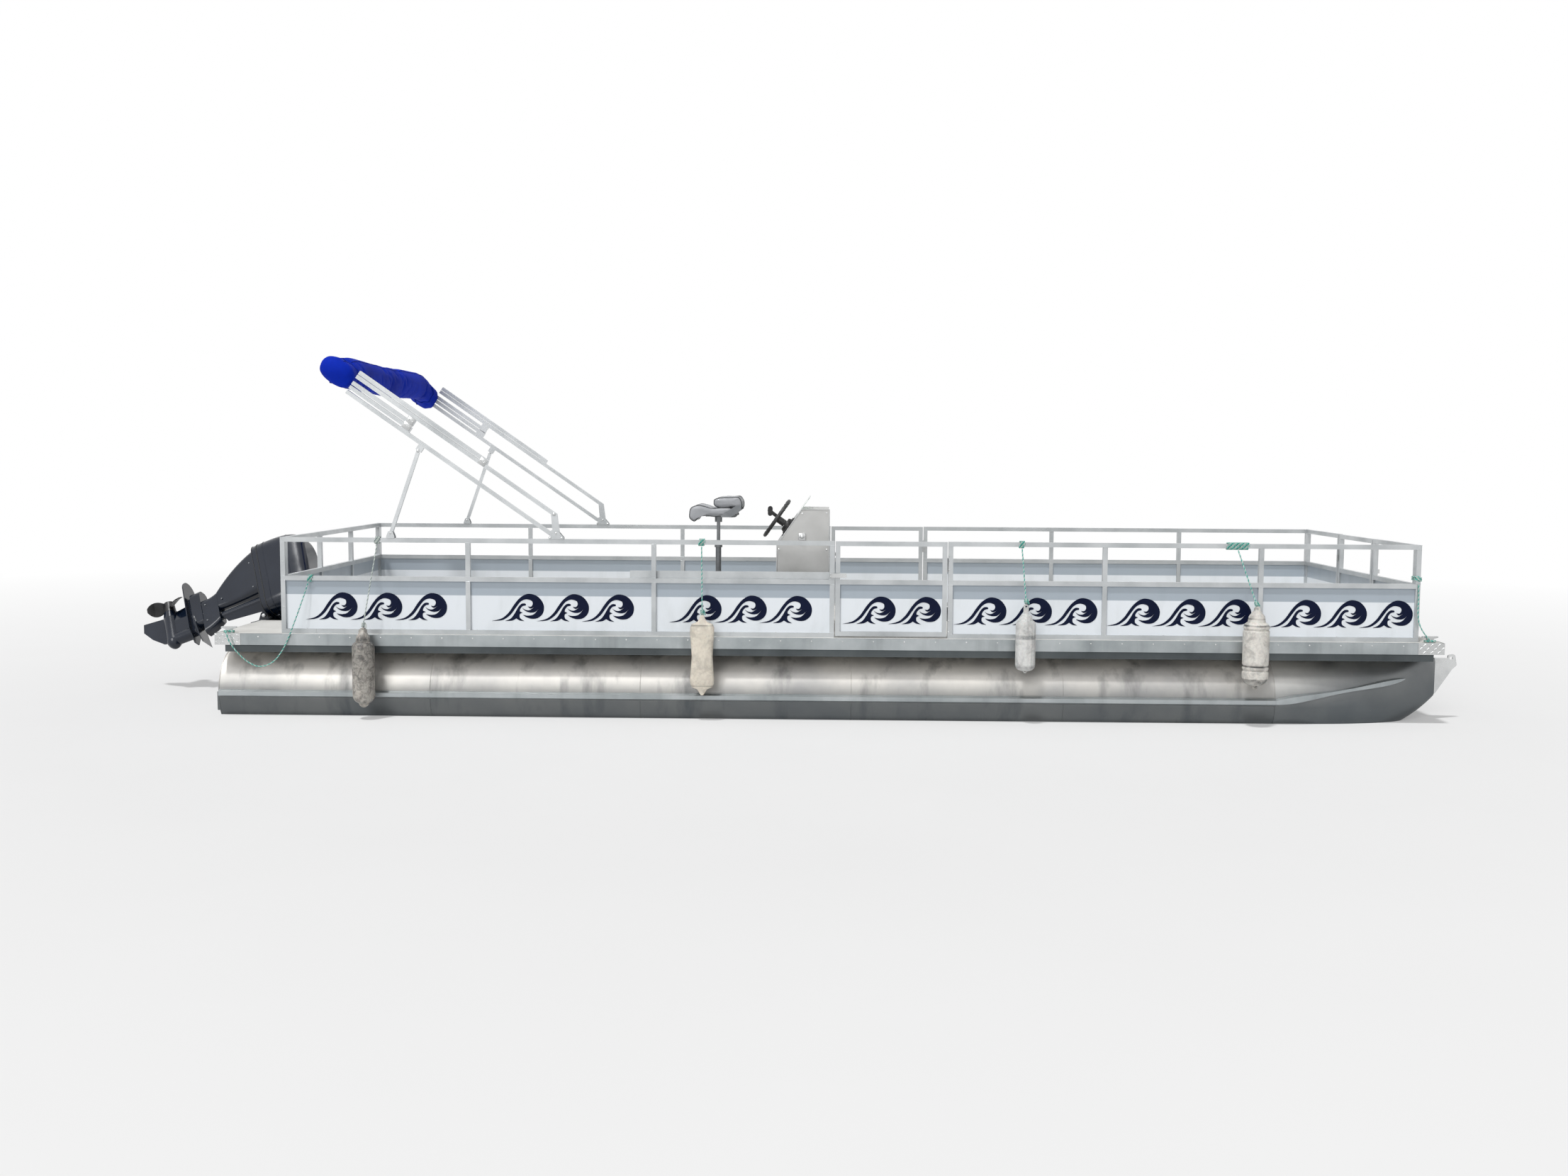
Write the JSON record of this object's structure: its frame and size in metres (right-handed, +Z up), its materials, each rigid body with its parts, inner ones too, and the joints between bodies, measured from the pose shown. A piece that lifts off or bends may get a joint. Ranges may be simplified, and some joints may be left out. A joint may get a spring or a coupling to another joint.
{
  "type": "pontoon boat",
  "caption": "Flat fenced deck on long metal tubes with pointed noses, with inward gates, a side helm, a swivel seat, a folded canopy aft, hanging fenders and a tilting outboard motor.",
  "frame": {"origin": "under the middle of the whole boat's length, on the centreline, at the surface its keel strips stand on", "axes": "+X towards the bow, +Y to port, +Z up"},
  "size_m": [9.8713, 2.6946, 2.673],
  "materials": {
    "tube_metal": "weathered",
    "nose_metal": "weathered",
    "bright_metal": "satin",
    "rail_metal": "satin",
    "trim_metal": "brushed",
    "deck_wood": "grey covering",
    "panel_paint": "gloss",
    "console_metal": "satin",
    "black_plastic": "matte",
    "seat_vinyl": "vinyl",
    "pole_metal": "satin",
    "canopy_metal": "satin",
    "boot_cloth": "woven",
    "motor_paint": "gloss",
    "cowl_plastic": "gloss",
    "fender_white": "satin",
    "fender_grey": "satin",
    "rope_cord": "twisted",
    "clear_screen": "clear"
  },
  "bodies": {
    "hull": {"boarding_ladder": "rail_metal", "bow_fence": "rail_metal", "bow_rope": "rope_cord", "canopy_mounts": "canopy_metal", "cleats": "bright_metal", "console": "console_metal", "corner_caps": "bright_metal", "cross_members": "tube_metal", "dash_panel": "black_plastic", "deck": "deck_wood", "end_trim": "trim_metal", "fence_panels": "panel_paint", "fender_1": "fender_grey", "fender_2": "fender_white", "fender_3": "fender_white", "fender_4": "fender_white", "fender_rope_1": "rope_cord", "fender_rope_2": "rope_cord", "fender_rope_3": "rope_cord", "fender_rope_4": "rope_cord", "gate_fittings": "bright_metal", "keel_strips": "tube_metal", "motor_clamp": "motor_paint", "motor_pod": "tube_metal", "nosecones": "nose_metal", "pontoon_tubes": "tube_metal", "port_aft_fence": "rail_metal", "port_bow_fence": "rail_metal", "risers": "tube_metal", "rub_rails": "trim_metal", "seat_pedestal": "pole_metal", "side_channels": "trim_metal", "starboard_aft_fence": "rail_metal", "starboard_bow_fence": "rail_metal", "stem_plates": "bright_metal", "stern_fence": "rail_metal", "stern_rope": "rope_cord", "strakes": "tube_metal", "throttle": "black_plastic", "tow_eyes": "bright_metal", "tube_end_caps": "tube_metal", "windscreen": "clear_screen"},
    "starboard_gate": {"starboard_gate": "rail_metal", "starboard_gate_panel": "panel_paint"},
    "port_gate": {"port_gate": "rail_metal", "port_gate_panel": "panel_paint"},
    "bow_gate": {"bow_gate": "rail_metal", "bow_gate_panel": "panel_paint"},
    "steering_wheel": {"steering_wheel": "black_plastic"},
    "helm_seat": {"seat_swivel": "pole_metal", "seat_cushion": "seat_vinyl"},
    "seat_back": {"seat_back": "seat_vinyl"},
    "canopy": {"canopy_frame": "canopy_metal", "canopy_boot": "boot_cloth"},
    "starboard_strut": {"starboard_strut": "canopy_metal"},
    "port_strut": {"port_strut": "canopy_metal"},
    "motor_bracket": {"motor_swivel": "motor_paint"},
    "motor": {"motor_leg": "motor_paint", "motor_cowl": "cowl_plastic"},
    "propeller": {"propeller": "black_plastic"}
  },
  "joints": [
    {"name": "starboard_gate_swing", "type": "hinge", "parent": "hull", "child": "starboard_gate", "pos_m": [1.278, -1.1477, 1.064], "axis": [0, 0, -1], "range_deg": [0, 95]},
    {"name": "port_gate_swing", "type": "hinge", "parent": "hull", "child": "port_gate", "pos_m": [1.278, 1.1477, 1.064], "axis": [0, 0, 1], "range_deg": [0, 95]},
    {"name": "bow_gate_swing", "type": "hinge", "parent": "hull", "child": "bow_gate", "pos_m": [4.5037, 0.36, 1.064], "axis": [0, 0, -1], "range_deg": [0, 95]},
    {"name": "wheel_turn", "type": "hinge", "parent": "hull", "child": "steering_wheel", "pos_m": [0.07469, -0.6, 1.54275], "axis": [0.8177, 0, -0.5757], "range_deg": [-80, 980]},
    {"name": "seat_turn", "type": "hinge", "parent": "hull", "child": "helm_seat", "pos_m": [-0.356, -0.58, 1.514], "axis": [0, 0, 1], "continuous": true},
    {"name": "seat_back_fold", "type": "hinge", "parent": "helm_seat", "child": "seat_back", "pos_m": [-0.196, -0.58, 1.623], "axis": [0, 1, 0], "range_deg": [0, 100]},
    {"name": "canopy_tilt", "type": "hinge", "parent": "hull", "child": "canopy", "pos_m": [-1.451, 0, 1.449], "axis": [0, 1, 0], "range_deg": [0, 100]},
    {"name": "starboard_strut_swing", "type": "hinge", "parent": "hull", "child": "starboard_strut", "pos_m": [-2.612, -1.17, 1.441], "axis": [0, -1, 0], "range_deg": [0, 98]},
    {"name": "port_strut_swing", "type": "hinge", "parent": "hull", "child": "port_strut", "pos_m": [-2.612, 1.17, 1.441], "axis": [0, -1, 0], "range_deg": [0, 98]},
    {"name": "motor_tilt", "type": "hinge", "parent": "hull", "child": "motor_bracket", "pos_m": [-3.918, 0, 0.742], "axis": [0, 1, 0], "range_deg": [-70, 4]},
    {"name": "motor_steer", "type": "hinge", "parent": "motor_bracket", "child": "motor", "pos_m": [-3.9622, 0, 0.85141], "axis": [0.9272, 0, 0.3746], "range_deg": [-5, 65]},
    {"name": "propeller_spin", "type": "hinge", "parent": "motor", "child": "propeller", "pos_m": [-4.74797, 0.125, 0.76745], "axis": [0.3244, -0.5, -0.803], "continuous": true}
  ],
  "couplings": [
    {"joint": "wheel_turn", "follows": "motor_steer", "ratio": 15}
  ]
}
